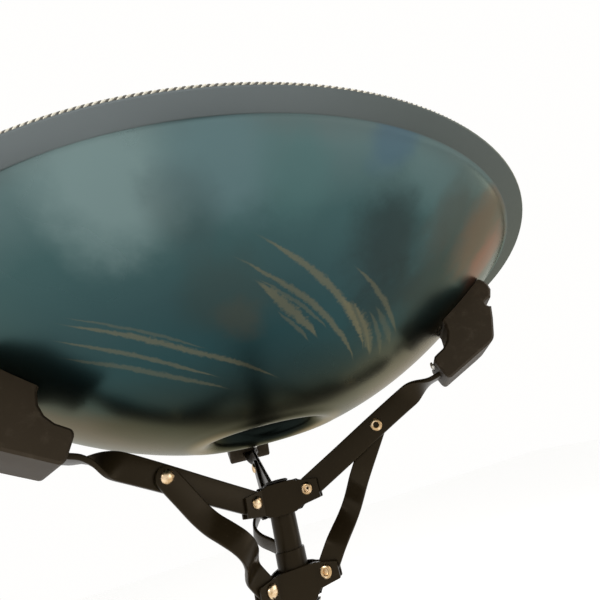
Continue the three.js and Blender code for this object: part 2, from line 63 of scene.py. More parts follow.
# Studio. A pale matt floor, a pale surround and three large soft lights, and no other objects. Every finish
# here and below is written with this class and with the function that follows it.
class Shade:
    """One socket of a finish. Sums of shades are worked out by the shader."""

    def __init__(self, tree, socket=None):
        self.tree = tree
        self.socket = socket

    def node(self, kind, settings=None, inputs=None, output=0):
        made = self.tree.nodes.new(kind)
        for name, value in (settings or {}).items():
            if name == "stops":
                ramp = made.color_ramp.elements
                while len(ramp) < len(value):
                    ramp.new(0.5)
                for stop, (place, colour) in zip(ramp, value):
                    stop.position = place
                    stop.color = (*colour, 1.0)
            else:
                setattr(made, name, value)
        for name, value in (inputs or {}).items():
            if isinstance(value, Shade):
                self.tree.links.new(value.socket, made.inputs[name])
            else:
                made.inputs[name].default_value = value
        return Shade(self.tree, made.outputs[output])

    def maths(self, operation, *values):
        return self.node("ShaderNodeMath", {"operation": operation}, dict(enumerate(values)))

    def __add__(self, other):
        return self.maths("ADD", self, other)

    def __sub__(self, other):
        return self.maths("SUBTRACT", self, other)

    def __mul__(self, other):
        return self.maths("MULTIPLY", self, other)

    def __truediv__(self, other):
        return self.maths("DIVIDE", self, other)

    def __rsub__(self, other):
        return self.maths("SUBTRACT", other, self)

    __radd__ = __add__
    __rmul__ = __mul__

    def between(self, low, high):
        """0 below low, 1 above high, and smooth between them."""
        return self.node(
            "ShaderNodeMapRange", {"interpolation_type": "SMOOTHSTEP"},
            {"Value": self, "From Min": low, "From Max": high},
        )

    def noise(self, place, scale, detail=3.0, roughness=0.5):
        inputs = {"Vector": place, "Scale": scale, "Detail": detail, "Roughness": roughness}
        return self.node("ShaderNodeTexNoise", {}, inputs, "Fac")

    def stretched(self, place, scale, turn=(0, 0, 0)):
        return self.node("ShaderNodeMapping", {}, {"Vector": place, "Scale": scale, "Rotation": turn})

    def blended(self, amount, first, second):
        """The colour first where amount is 0 and second where it is 1."""
        first = first if isinstance(first, Shade) else (*first, 1.0)
        second = second if isinstance(second, Shade) else (*second, 1.0)
        return self.node("ShaderNodeMix", {"data_type": "RGBA"}, {0: amount, 6: first, 7: second}, 2)

    def bump(self, height, distance, strength):
        return self.node("ShaderNodeBump", {}, {"Height": height, "Distance": distance, "Strength": strength})


def finish(name, constants, looks):
    """A material: constants go straight on the shader, looks(start, place) returns what varies."""
    material = bpy.data.materials.new(name)
    material.use_nodes = True
    tree = material.node_tree
    shader = tree.nodes["Principled BSDF"]
    for socket, value in constants.items():
        shader.inputs[socket].default_value = value
    start = Shade(tree)
    place = start.node("ShaderNodeTexCoord", {}, {}, "Object")
    for socket, value in looks(start, place).items():
        tree.links.new(value.socket, shader.inputs[socket])
    return material


def floor_looks(start, place):
    grain = start.noise(place, 40.0, 4.0)
    return {
        "Base Color": start.blended(grain, (0.965, 0.965, 0.96), (0.985, 0.985, 0.98)),
        "Normal": start.bump(grain, 0.0005, 0.3),
    }


floor_mesh = bpy.data.meshes.new("floor")
floor_mesh.from_pydata([(-6, -6, 0), (6, -6, 0), (6, 6, 0), (-6, 6, 0)], [], [(0, 1, 2, 3)])
floor_mesh.materials.append(finish("floor_paint", {"Roughness": 0.85}, floor_looks))
floor = bpy.data.objects.new("floor", floor_mesh)
bpy.context.scene.collection.objects.link(floor)

world = bpy.data.worlds.new("studio")
bpy.context.scene.world = world
world.use_nodes = True
world.node_tree.nodes["Background"].inputs["Color"].default_value = (1.0, 0.995, 0.985, 1.0)
world.node_tree.nodes["Background"].inputs["Strength"].default_value = 1.0
bpy.context.scene.view_settings.view_transform = "Standard"


def soft_light(name, place, aim, size, power, colour):
    data = bpy.data.lights.new(name, "AREA")
    data.size = size
    data.energy = power
    data.color = colour
    lamp = bpy.data.objects.new(name, data)
    lamp.location = place
    lamp.rotation_euler = (Vector(aim) - Vector(place)).to_track_quat("-Z", "Y").to_euler()
    bpy.context.scene.collection.objects.link(lamp)


soft_light("key", (-1.6, -1.4, 1.9), (0, 0, 0.7), 1.0, 26.0, (1.0, 0.97, 0.93))
soft_light("fill", (1.8, -0.6, 1.2), (0, 0, 0.6), 1.4, 12.0, (1.0, 0.95, 0.88))
soft_light("back", (0.4, 2.0, 1.6), (0, 0, 0.6), 1.2, 14.0, (1.0, 1.0, 1.0))


# Tripod post. A black painted steel tube with a rubber plug in its open end, and a nylon clamp with a
# zinc-plated thumb screw at its top. The plug is pressed in, and the clamp slips over the end.
def piece(name, vertices, faces, material, slot, body, nodes, crease=35.0):
    """A mesh piece that rides on a body and stands for CAD nodes."""
    mesh = bpy.data.meshes.new(name)
    mesh.from_pydata(vertices, [], faces)
    mesh.validate()
    mesh.polygons.foreach_set("use_smooth", [True] * len(mesh.polygons))
    mesh.set_sharp_from_angle(angle=math.radians(crease))
    mesh.materials.append(material)
    made = bpy.data.objects.new(name, mesh)
    bpy.context.scene.collection.objects.link(made)
    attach(made, body)
    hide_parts(*nodes)


def rounded(points, radius, steps=3):
    """A closed outline with each corner turned into a short arc."""
    outline = []
    for i, corner in enumerate(points):
        corner = Vector(corner)
        before = Vector(points[i - 1]) - corner
        after = Vector(points[(i + 1) % len(points)]) - corner
        reach = min(radius, 0.45 * before.length, 0.45 * after.length)
        start = corner + before.normalized() * reach
        end = corner + after.normalized() * reach
        for step in range(steps + 1):
            t = step / steps
            outline.append((1 - t) ** 2 * start + 2 * t * (1 - t) * corner + t ** 2 * end)
    return outline


def turned(profile, segments=64, closed=True):
    """A mesh turned about Z from (radius, height) points."""
    vertices, faces, rings = [], [], []
    for radius, height in profile:
        if radius < 1e-6:
            rings.append([len(vertices)] * segments)
            vertices.append((0, 0, height))
        else:
            rings.append([len(vertices) + k for k in range(segments)])
            for k in range(segments):
                angle = 2 * math.pi * k / segments
                vertices.append((radius * math.cos(angle), radius * math.sin(angle), height))
    pairs = list(zip(rings, rings[1:]))
    if closed:
        pairs.append((rings[-1], rings[0]))
    for low, high in pairs:
        for k in range(segments):
            n = (k + 1) % segments
            face = list(dict.fromkeys((low[k], low[n], high[n], high[k])))
            if len(face) > 2:
                faces.append(face)
    return vertices, faces


def tube(inner, outer, low, high, edge=0.0004):
    """The outline of a tube's wall with its four edges eased."""
    return rounded([(inner, low), (outer, low), (outer, high), (inner, high)], edge)


def spans(node):
    """A round node's outer radius, low end and high end."""
    low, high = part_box(node)
    return (high[0] - low[0]) / 2, low[2], high[2]


def paint_looks(start, place):
    cloud = start.noise(place, 9.0, 3.0)
    orange_peel = start.noise(place, 900.0, 2.0)
    scuff = start.noise(start.stretched(place, (60, 60, 500)), 1.0, 4.0, 0.6).between(0.66, 0.76)
    dust = start.noise(place, 260.0, 4.0, 0.7).between(0.62, 0.75)
    base = start.blended(cloud, (0.008, 0.0052, 0.0022), (0.015, 0.0105, 0.005))
    base = start.blended(dust * 0.2, base, (0.07, 0.055, 0.035))
    return {
        "Base Color": start.blended(scuff * 0.3, base, (0.05, 0.042, 0.03)),
        "Roughness": 0.24 + cloud * 0.10 + scuff * 0.15,
        "Normal": start.bump(orange_peel, 0.00006, 0.5),
    }


warm_gloss = {"Specular IOR Level": 0.13, "Specular Tint": (1.0, 0.84, 0.62, 1.0)}
black_paint = finish("black_paint", warm_gloss, paint_looks)


def rubber_looks(start, place):
    grain = start.noise(place, 1500.0, 3.0, 0.6)
    cloud = start.noise(place, 30.0, 4.0)
    bloom = start.noise(place, 120.0, 5.0, 0.65).between(0.5, 0.8)
    base = start.blended(cloud, (0.016, 0.011, 0.006), (0.028, 0.020, 0.012))
    return {
        "Base Color": start.blended(bloom * 0.3, base, (0.075, 0.06, 0.042)),
        "Roughness": 0.5 + cloud * 0.18,
        "Normal": start.bump(grain, 0.00008, 0.6),
    }


dull_gloss = {"Specular IOR Level": 0.2, "Specular Tint": (1.0, 0.88, 0.7, 1.0)}
black_rubber = finish("black_rubber", dull_gloss, rubber_looks)


def plastic_looks(start, place):
    grain = start.node("ShaderNodeTexVoronoi", {}, {"Vector": place, "Scale": 1800.0}, "Distance")
    cloud = start.noise(place, 25.0, 3.0)
    return {
        "Base Color": start.blended(cloud, (0.013, 0.011, 0.009), (0.024, 0.021, 0.018)),
        "Roughness": 0.42 + cloud * 0.16,
        "Normal": start.bump(grain, 0.00006, 0.5),
    }


black_plastic = finish("black_plastic", {"Specular IOR Level": 0.45}, plastic_looks)


def zinc_looks(start, place):
    spangle = start.node("ShaderNodeTexVoronoi", {}, {"Vector": place, "Scale": 700.0}, "Color")
    cloud = start.noise(place, 90.0, 4.0)
    base = start.blended(cloud, (0.46, 0.44, 0.40), (0.66, 0.65, 0.62))
    return {
        "Base Color": base,
        "Roughness": 0.24 + cloud * 0.2,
        "Normal": start.bump(spangle, 0.00003, 0.3),
    }


zinc_plate = finish("zinc_plate", {"Metallic": 1.0}, zinc_looks)

POST_WALL = 0.0016
radius, low, high = spans("outer_tube")
post = turned(tube(radius - POST_WALL, radius, low, high))
piece("post_tube", *post, black_paint, "black_paint", "base", ["outer_tube"])
radius, low, high = spans("tube_end_plug")
stem, shoulder = radius - 0.0019, high - 0.0103
plug = [(0, low), (radius - 0.002, low), (radius, low + 0.002), (radius, shoulder), (stem, shoulder),
        (stem, high), (0, high)]
piece("post_plug", *turned(plug, closed=False), black_rubber, "black_rubber", "base", ["tube_end_plug"])


def soften(node, material, width=0.0006, segments=2):
    """A CAD node kept as it is, with a material and its edges eased."""
    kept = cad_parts[node]
    kept.data.materials.clear()
    kept.data.materials.append(material)
    weld = kept.modifiers.new("weld", "WELD")
    weld.merge_threshold = 0.00001
    bevel = kept.modifiers.new("eased_edges", "BEVEL")
    bevel.width = width
    bevel.segments = segments
    bevel.angle_limit = math.radians(30)
    bevel.harden_normals = True


soften("height_clamp", black_plastic)
soften("height_screw", zinc_plate, 0.0005)

# Legs. Three flat painted bars hang from a nylon collar that slides on the post, and three thin braces
# tie them to a fixed collar lower down. Rivets join them, and rubber boots grip the floor.
soften("leg_collar", black_plastic)
soften("brace_collar", black_plastic)
soften("leg_screw", zinc_plate, 0.0005)
for side in (1, 2, 3):
    soften(f"leg_{side}", black_paint, 0.0008)
    soften(f"brace_{side}", black_paint, 0.0005)
    soften(f"foot_{side}", black_rubber, 0.0015, 3)


def brass_looks(start, place):
    cloud = start.noise(place, 400.0, 4.0)
    worn = start.noise(place, 160.0, 3.0).between(0.45, 0.62)
    base = start.blended(worn, (0.46, 0.31, 0.16), (0.76, 0.58, 0.38))
    return {"Base Color": base, "Roughness": 0.16 + cloud * 0.2, "Normal": start.bump(cloud, 0.00008, 0.4)}


rivet_brass = finish("rivet_brass", {"Metallic": 1.0}, brass_looks)
for side in (1, 2, 3):
    soften(f"leg_rivet_{side}", rivet_brass, 0.0002)
    soften(f"brace_rivet_{side}", rivet_brass, 0.0002)


# Column. A bright plated steel tube slides in the post, and the basket's black tube is pressed over its top.
# Folded steel plates stand round the black one: the upper ones on a fixed ring, and the lower ones on a
# sleeve that slides, with a bright washer and a winged plastic knob under it.
def chrome_looks(start, place):
    drawn = start.noise(start.stretched(place, (900, 900, 12)), 1.0, 3.0)
    return {
        "Base Color": start.blended(drawn, (0.60, 0.60, 0.59), (0.72, 0.72, 0.71)),
        "Roughness": 0.08 + drawn * 0.12,
        "Normal": start.bump(drawn, 0.00001, 0.3),
    }


bright_tube = finish("bright_tube", {"Metallic": 1.0}, chrome_looks)
PLATED_WALL = 0.0015
BASKET_WALL = 0.0012
HUB_BORE = 0.0113
radius, low, high = spans("height_tube")
wall = turned(tube(radius - PLATED_WALL, radius, low, high))
piece("height_post", *wall, bright_tube, "chrome_tube", "column", ["height_tube"])
radius, low, high = spans("basket_tube")
wall = turned(tube(radius - BASKET_WALL, radius, low, high))
piece("basket_post", *wall, black_paint, "black_paint", "column", ["basket_tube"])
soften("tube_cap", black_plastic)
ring = turned(tube(HUB_BORE, *spans("hub_collar")))
piece("hub_ring", *ring, black_paint, "black_paint", "column", ["hub_collar"])
for side in (1, 2, 3):
    soften(f"upper_hub_plate_{side}", black_paint, 0.0005)
    soften(f"lower_hub_plate_{side}", black_paint, 0.0005)
ring = turned(tube(HUB_BORE, *spans("hub_sleeve")))
piece("sliding_sleeve", *ring, black_paint, "black_paint", "lower_hub", ["hub_sleeve"])
ring = turned(tube(HUB_BORE, *spans("hub_washer"), 0.0003))
piece("sleeve_washer", *ring, zinc_plate, "zinc_plate", "lower_hub", ["hub_washer"])
soften("basket_knob", black_plastic, 0.001, 3)

# Basket arms. Three flat painted steel bars, each with a quarter twist before its moulded rubber grip, and
# three struts that bow out and come back between the lower ears. Hollow brass rivets hold them, domed on
# their other side, and a small screw holds each grip.
for side in (1, 2, 3):
    soften(f"grip_{side}", black_rubber, 0.001)
    soften(f"grip_screw_{side}", zinc_plate, 0.0003)

ARM_THICKNESS = 0.004
ARM_WIDTH = 0.019
STRUT_THICKNESS = 0.003
STRUT_WIDTH = 0.017
STRUT_LENGTH = 0.122
TWIST_ALONG = (0.58, 0.76)


def pivot_spot(rivet):
    """How far out and how high the middle of a rivet on the second side is."""
    low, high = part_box(rivet)
    return (low[1] + high[1]) / 2, (low[2] + high[2]) / 2


hub_spot = pivot_spot("upper_hub_rivet_2")
low_spot = pivot_spot("lower_hub_rivet_2")
pin_spot = pivot_spot("arm_rivet_2")


def blend(t, knots, k, level):
    """How far t lies between the two knots that one step of the curve joins."""
    first, last = ((k, k + 1), (k, k + 2), (1, 2))[level - 1]
    return (t - knots[first]) / (knots[last] - knots[first])


def swept(points, count, thickness, width, turn, rounded_far):
    """A flat bar with eased edges along a curve, half round at its near end and, if asked, at its far one."""
    spots = [Vector(point) for point in points]
    spots = [2 * spots[0] - spots[1], *spots, 2 * spots[-1] - spots[-2]]
    knots = [0.0]
    for a, b in zip(spots, spots[1:]):
        knots.append(knots[-1] + (b - a).length ** 0.5)
    path = []
    for i in range(1, len(spots) - 2):
        for step in range(24):
            t = knots[i] + (knots[i + 1] - knots[i]) * step / 24
            row, order = list(spots[i - 1:i + 3]), knots[i - 1:i + 3]
            for level in (1, 2, 3):
                row = [row[k].lerp(row[k + 1], blend(t, order, k, level)) for k in range(4 - level)]
            path.append(row[0])
    path.append(spots[-2])
    lengths = [0.0]
    for a, b in zip(path, path[1:]):
        lengths.append(lengths[-1] + (b - a).length)
    total = lengths[-1]
    half = width / 2
    ends = [math.sin(math.radians(a)) for a in (88, 75, 60, 40, 20)]
    stations = [-half * e for e in ends] + [total * k / count for k in range(count + 1)]
    if rounded_far:
        stations += [total + half * e for e in reversed(ends)]
    vertices, faces, last = [], [], None
    for spot in stations:
        k = min(max(next((n for n, d in enumerate(lengths) if d >= spot), len(path) - 1), 1), len(path) - 1)
        run = (path[k] - path[k - 1]).normalized()
        centre = path[k - 1] + run * (spot - lengths[k - 1])
        past = max(-spot, spot - total if rounded_far else 0.0, 0.0)
        wide_here = 2 * math.sqrt(max(half ** 2 - past ** 2, 1e-8))
        ease = min(0.0007, wide_here * 0.3)
        across = Vector((0, 1, 0))
        across = (across - run * across.dot(run)).normalized()
        spin = Matrix.Rotation(turn(spot / total), 3, run)
        wide = spin @ run.cross(across)
        thick = wide.cross(run)
        w, h = wide_here / 2, thickness / 2
        outline = rounded([(-w, -h), (w, -h), (w, h), (-w, h)], ease * 1.6)
        ring = list(range(len(vertices), len(vertices) + len(outline)))
        vertices += [centre + wide * u + thick * v for u, v in outline]
        if last:
            for n, corner in enumerate(ring):
                after = (n + 1) % len(ring)
                faces.append((last[n], last[after], ring[after], corner))
        else:
            faces.append(tuple(reversed(ring)))
        last = ring
    faces.append(tuple(last))
    return vertices, faces


def on_side(side, points):
    """Points of the side's own frame (outward, sideways, up) as they stand round the column."""
    turn = Matrix.Rotation(math.radians((-30, 90, 210)[side - 1]), 3, "Z")
    return [turn @ Vector(point) for point in points]


SHANK_RADIUS = 0.0024


def rivet_shape(hollow, dome_from, radius):
    """A rivet's outline from inside its hollow end to where its shank meets the other end."""
    end = hollow - 0.0019
    return [
        (0, hollow + 0.0030), (0.0021, hollow + 0.0028), (radius * 0.44, hollow),
        (radius * 0.46, end + 0.0004), (radius * 0.56, end), (radius * 0.74, end + 0.0001),
        (radius * 0.90, end + 0.0006), (radius, hollow - 0.0005), (radius * 0.98, hollow),
        (SHANK_RADIUS, hollow), (SHANK_RADIUS, dome_from),
    ]


def rivet_piece(name, side, outline, spot, body, nodes):
    """A rivet turned from its outline and laid across an arm or an ear at its pivot."""
    vertices, faces = turned(outline, 32, False)
    across = Matrix(((1, 0, 0), (0, 0, 1), (0, -1, 0)))
    vertices = on_side(side, [across @ Vector(v) + Vector((spot[0], 0, spot[1])) for v in vertices])
    piece(f"{name}_{side}", vertices, faces, rivet_brass, "rivet_brass", body, nodes)


def smooth(value, low, high):
    t = min(max((value - low) / (high - low), 0.0), 1.0)
    return t * t * (3 - 2 * t)


def quarter_twist(along):
    return math.pi / 2 * smooth(along, *TWIST_ALONG)


def no_twist(along):
    return 0.0


arm_path = [
    (hub_spot[0], 0, hub_spot[1]), (0.065, 0, RIM_HEIGHT - 0.1326), (pin_spot[0], 0, pin_spot[1]),
    (0.133, 0, RIM_HEIGHT - 0.1024), (0.1465, 0, RIM_HEIGHT - 0.097), (0.1595, 0, RIM_HEIGHT - 0.0938),
    (0.174, 0, RIM_HEIGHT - 0.0904), (0.1905, 0, RIM_HEIGHT - 0.0848), (0.207, 0, RIM_HEIGHT - 0.0782),
]
arm_face = ARM_THICKNESS / 2 + 0.0003
strut_side = arm_face + STRUT_THICKNESS / 2
bow = [
    (0, strut_side), (0.020, strut_side), (0.038, strut_side), (0.050, 0.007), (0.060, 0.014),
    (0.070, 0.020), (0.078, 0.021), (0.086, 0.017), (0.094, 0.0085), (0.100, 0.0026), (0.104, 0.0004),
    (0.109, 0), (STRUT_LENGTH, 0),
]
strut_path = []
for along, aside in bow:
    spot = Vector(pin_spot).lerp(Vector(low_spot), along / STRUT_LENGTH)
    strut_path.append((spot.x, aside, spot.y))

ear = 0.0049
hub_dome = [
    (0.0051, ear), (0.0050, ear + 0.0007), (0.0044, ear + 0.0017), (0.0034, ear + 0.0023),
    (0.0018, ear + 0.0028), (0, ear + 0.0029),
]
stud_face = arm_face + STRUT_THICKNESS
stud_dome = [
    (0, 0.0023), (SHANK_RADIUS, 0.0023), (SHANK_RADIUS, stud_face), (0.0053, stud_face),
    (0.0052, stud_face + 0.0008), (0.0046, stud_face + 0.0018), (0.0036, stud_face + 0.0024),
    (0.0018, stud_face + 0.0029), (0, stud_face + 0.0030),
]
for side in (1, 2, 3):
    arm, strut = f"arm_{side}", f"strut_{side}"
    vertices, faces = swept(arm_path, 90, ARM_THICKNESS, ARM_WIDTH, quarter_twist, False)
    piece(f"arm_bar_{side}", on_side(side, vertices), faces, black_paint, "black_paint", arm, [arm])
    vertices, faces = swept(strut_path, 80, STRUT_THICKNESS, STRUT_WIDTH, no_twist, True)
    piece(f"strut_bar_{side}", on_side(side, vertices), faces, black_paint, "black_paint", strut, [strut])
    outline = rivet_shape(-ear, ear, 0.0050) + hub_dome
    rivet_piece("upper_hub_rivet_turned", side, outline, hub_spot, "column", [f"upper_hub_rivet_{side}"])
    rivet_piece("lower_hub_rivet_turned", side, outline, low_spot, "lower_hub", [f"lower_hub_rivet_{side}"])
    outline = rivet_shape(-arm_face, 0.002, 0.0054) + [(0, 0.002)]
    rivet_piece("arm_rivet_turned", side, outline, pin_spot, arm, [f"arm_rivet_{side}"])
    rivet_piece("stud_head", side, stud_dome, pin_spot, strut, [])


# Bottom shell. A disc of steel, deep drawn to a bowl with a flat flange, its port's lip rolled inwards,
# then baked so that its surface turns blue-green with gold and red towards the edges.
BOWL_RADIUS = 0.2678
BOWL_DEPTH = 0.1021
BOWL_POWER = 0.96
FLANGE_TINT = (0.140, 0.160, 0.165)


def bowl_depth(r):
    return BOWL_DEPTH * max(1 - (r / BOWL_RADIUS) ** 2, 0) ** BOWL_POWER


def smooth_line(points, steps):
    """Points on a smooth curve through the given ones."""
    line = []
    count = len(points)
    for i in range(count - 1):
        a, b, c, d = (Vector(points[min(max(k, 0), count - 1)]) for k in (i - 1, i, i + 1, i + 2))
        for step in range(steps):
            t = step / steps
            line.append(0.5 * ((2 * b) + (c - a) * t + (2 * a - 5 * b + 4 * c - d) * t ** 2
                               + (3 * b - a - 3 * c + d) * t ** 3))
    return line + [Vector(points[-1])]


def offset_line(points, distance):
    moved = []
    for i, point in enumerate(points):
        run = (points[min(i + 1, len(points) - 1)] - points[max(i - 1, 0)]).normalized()
        moved.append(point + Vector((-run.y, run.x)) * distance)
    return moved


SHELL = 0.0012
HALF_GLUE = 0.00015
flange_top = RIM_HEIGHT - HALF_GLUE
bowl_angles = (84, 79, 74, 69, 64, 59, 54, 49, 44, 39, 34, 29, 24, 19.5, 17)
bowl_radii = [BOWL_RADIUS * math.sin(math.radians(angle)) for angle in bowl_angles]
port_lip = [
    (0.070, 0.0957), (0.063, 0.0961), (0.0555, 0.0941), (0.0500, 0.0896), (0.0470, 0.083), (0.046, 0.074),
    (0.046, 0.064),
]
bowl_line = [(r, bowl_depth(r)) for r in bowl_radii]
bowl_points = [(BOWL_RADIUS + 0.0008, HALF_GLUE + SHELL), *bowl_line, *port_lip]
outside = smooth_line([(r, RIM_HEIGHT - z) for r, z in bowl_points], 4)
inside = offset_line(outside, -SHELL)[4:]
flange = [(0.2795, flange_top - SHELL), (0.28, flange_top - SHELL / 2), (0.2795, flange_top)]
bowl_profile = [(BOWL_RADIUS - 0.0014, flange_top), *inside, *reversed(outside), *flange]


def tinted_looks(start, place):
    east, north = (start.node("ShaderNodeSeparateXYZ", {}, {0: place}, axis) for axis in "XY")
    level = start.node("ShaderNodeVectorMath", {"operation": "MULTIPLY"}, {0: place, 1: (1, 1, 0)})

    def reach(spot):
        """How far the surface lies from an upright line through a spot."""
        inputs = {0: level, 1: (*spot, 0)}
        return start.node("ShaderNodeVectorMath", {"operation": "DISTANCE"}, inputs, "Value")

    radius = reach((0, 0))
    cloud = start.noise(place, 6.0, 3.0)
    mottle = start.noise(place, 26.0, 5.0, 0.62)
    wander = (cloud - 0.5) * 0.05 + (mottle - 0.5) * 0.035
    # The ramp runs from near black round the port to pale teal at the flange: partly heat tint, partly
    # painted shade on the low middle of the bowl.
    stops = [
        (0.26, (0.007, 0.010, 0.009)), (0.36, (0.009, 0.014, 0.013)), (0.50, (0.014, 0.032, 0.034)),
        (0.61, (0.018, 0.048, 0.053)), (0.72, (0.027, 0.058, 0.062)), (0.84, (0.038, 0.078, 0.080)),
        (0.93, (0.075, 0.120, 0.122)), (0.957, (0.085, 0.120, 0.120)),
    ]
    base = start.node("ShaderNodeValToRGB", {"stops": stops}, {0: (radius + wander * 0.4) / 0.28})
    gold_side = start.noise(place, 4.5, 2.0).between(0.53, 0.68) * radius.between(0.10, 0.20)
    far_side = north.between(-0.12, 0.02)
    base = start.blended(gold_side * far_side * 0.7, base, (0.15, 0.105, 0.06))
    # Patches laid over the ramp: where each one is, its size, its colour and how strong it is. The warm, red
    # and blue ones are heat tint; the near-black ones are painted dark reflections of the grips and the
    # stand, and the pale teal ones along the south rim are painted brighter reflection.
    tints_and_painted_reflections = [
        ((0.150, -0.060), 0.085, (0.150, 0.085, 0.040), 0.70),
        ((0.095, -0.100), 0.060, (0.060, 0.062, 0.045), 0.60),
        ((-0.140, -0.040), 0.075, (0.090, 0.052, 0.036), 0.60),
        ((-0.085, -0.238), 0.042, (0.140, 0.200, 0.200), 0.75),
        ((-0.035, -0.250), 0.034, (0.085, 0.140, 0.150), 0.70),
        ((0.000, -0.248), 0.030, (0.060, 0.120, 0.120), 0.55),
        ((0.050, -0.262), 0.022, (0.050, 0.090, 0.130), 0.55),
        ((-0.053, -0.228), 0.024, (0.040, 0.060, 0.062), 0.40),
        ((0.056, -0.212), 0.040, (0.020, 0.028, 0.028), 0.75),
        ((0.064, -0.176), 0.034, (0.016, 0.022, 0.022), 0.55),
        ((0.108, -0.176), 0.045, (0.024, 0.031, 0.029), 0.60),
        ((0.110, -0.215), 0.034, (0.055, 0.055, 0.048), 0.55),
        ((0.150, -0.190), 0.042, (0.130, 0.085, 0.060), 0.75),
        ((0.178, -0.158), 0.036, (0.270, 0.095, 0.065), 0.70),
        ((-0.028, -0.180), 0.018, (0.060, 0.056, 0.040), 0.45),
        ((-0.035, -0.195), 0.036, (0.038, 0.048, 0.040), 0.35),
        ((0.120, 0.190), 0.085, (0.110, 0.070, 0.085), 0.40),
        ((-0.200, 0.090), 0.090, (0.110, 0.085, 0.050), 0.45),
        ((-0.098, -0.064), 0.046, (0.012, 0.015, 0.013), 0.75),
        ((-0.042, -0.058), 0.034, (0.010, 0.013, 0.012), 0.60),
        ((-0.060, 0.225), 0.080, (0.045, 0.075, 0.120), 0.45),
        ((0.215, 0.040), 0.075, (0.055, 0.080, 0.120), 0.40),
    ]
    for spot, size, colour, strength in tints_and_painted_reflections:
        cover = 1.0 - (reach(spot) + wander).between(size * 0.25, size)
        base = start.blended(cover * strength, base, colour)
    hairs = start.noise(place, 420.0, 3.0, 0.6)
    # Gold strokes: the middle and radius of each one's arc, its two ends in degrees, its width and strength.
    strokes = [
        ((-0.088, -0.084), 0.155, -68, -16, 0.0026, 0.50), ((-0.088, -0.084), 0.1595, -40, -14, 0.0014, 0.30),
        ((-0.102, -0.061), 0.168, -69, -20, 0.0022, 0.45), ((-0.102, -0.061), 0.1635, -62, -38, 0.0013, 0.28),
        ((-0.167, -0.025), 0.229, -52, -35, 0.0036, 0.50), ((-0.167, -0.025), 0.2235, -46, -36, 0.0014, 0.30),
        ((-0.063, -0.086), 0.136, -50, -15, 0.0052, 0.40), ((-0.063, -0.086), 0.1445, -38, -12, 0.0020, 0.25),
        ((-0.076, -0.066), 0.178, -53, -22, 0.0020, 0.36), ((-0.076, -0.066), 0.172, -40, -20, 0.0030, 0.22),
        ((-0.118, 0.006), 0.177, -95, -47, 0.0024, 0.45), ((-0.118, 0.006), 0.1815, -92, -66, 0.0012, 0.25),
        ((-0.123, -0.007), 0.152, -95, -56, 0.0020, 0.38), ((-0.119, 0.012), 0.159, -97, -56, 0.0026, 0.30),
    ]
    for centre, size, first, last, width, strength in strokes:
        first, last = math.radians(first), math.radians(last)
        middle, half = (first + last) / 2, (last - first) / 2
        bearing = start.maths("ARCTAN2", north - centre[1], east - centre[0])
        along = start.maths("ABSOLUTE", (bearing - middle) / half)
        taper = 1.0 - along.between(0.2, 1.0)
        off = start.maths("ABSOLUTE", reach(centre) + (mottle - 0.5) * 0.005 - size)
        edge = off / (width * taper + 0.0001) + (hairs - 0.5) * 1.6
        mark = (1.0 - edge.between(0.35, 1.15)) * taper.between(0.0, 0.35)
        base = start.blended(mark * strength, base, (0.135, 0.120, 0.070))
    rim = radius.between(0.2676, 0.2684)
    base = start.blended(rim, base, FLANGE_TINT)
    # Painted shade: the flange is made darker towards its east side.
    base = start.blended(rim * east.between(-0.06, 0.08) * 0.9, base, (0.076, 0.088, 0.084))
    # Painted highlight: the two ends of the port's lip, as the camera sees them, turn tan.
    lip = radius.between(0.053, 0.060) * (1.0 - radius.between(0.066, 0.080))
    side = start.maths("ABSOLUTE", east * 0.985 + north * 0.17).between(0.035, 0.062)
    base = start.blended(lip * side * 0.8, base, (0.20, 0.15, 0.09))
    # Painted shade: the port's throat is made near black, and rougher, for the dark hollow inside it.
    shaded_throat = 1.0 - radius.between(0.0462, 0.0475)
    base = start.blended(shaded_throat, base, (0.012, 0.016, 0.015))
    return {
        "Base Color": base,
        "Roughness": 0.24 + cloud * 0.08 + rim * 0.16 + shaded_throat * 0.35,
        "Normal": start.bump(start.noise(place, 700.0, 3.0), 0.00002, 0.3),
    }


steel = {"Metallic": 1.0, "Specular Tint": (0.70, 0.68, 0.58, 1.0)}
tinted_steel = finish("tinted_steel", steel, tinted_looks)
bowl = turned(bowl_profile, 180)
piece("bottom_bowl", *bowl, tinted_steel, "heat_tinted_steel", "pan", ["bottom_shell"], 50.0)

# Top shell. A second drawn steel disc, glued on the first at the flange. Its centre note is pressed up, and
# eight tone fields are hammered round it, each a flattened oval with a dimple in its middle.
DOME_HEIGHT = 0.095
FIELDS = 8
FIELD_RADIUS = 0.176
TOP_FLANGE = 0.2754
ROUND_STEPS = 144


def dome(x, y):
    """The outer height of the dome over the rim plane, with its notes."""
    r = math.hypot(x, y)
    height = DOME_HEIGHT * max(1 - (r / BOWL_RADIUS) ** 2, 0) ** BOWL_POWER
    if r < 0.075:
        t = r / 0.075
        height += 0.0062 * math.exp(-(r / 0.017) ** 2) - 0.0042 * math.exp(-((t - 0.52) / 0.24) ** 2)
    for k in range(FIELDS):
        around = 2 * math.pi * (k + 0.5) / FIELDS
        size = 1.0 - 0.045 * k
        along = (x * math.cos(around) + y * math.sin(around) - FIELD_RADIUS) / (0.040 * size)
        across = (y * math.cos(around) - x * math.sin(around)) / (0.050 * size)
        reach = math.hypot(along, across)
        if reach < 1.6:
            height -= 0.0032 * (1 - smooth(reach, 0.55, 1.15))
            inner = math.hypot(along / 0.42, across / 0.42)
            height -= 0.0022 * (1 - smooth(inner, 0.4, 1.1))
    return height


def circle(r):
    """Points evenly round the pan's axis."""
    angles = [2 * math.pi * k / ROUND_STEPS for k in range(ROUND_STEPS)]
    return [(r * math.cos(angle), r * math.sin(angle)) for angle in angles]


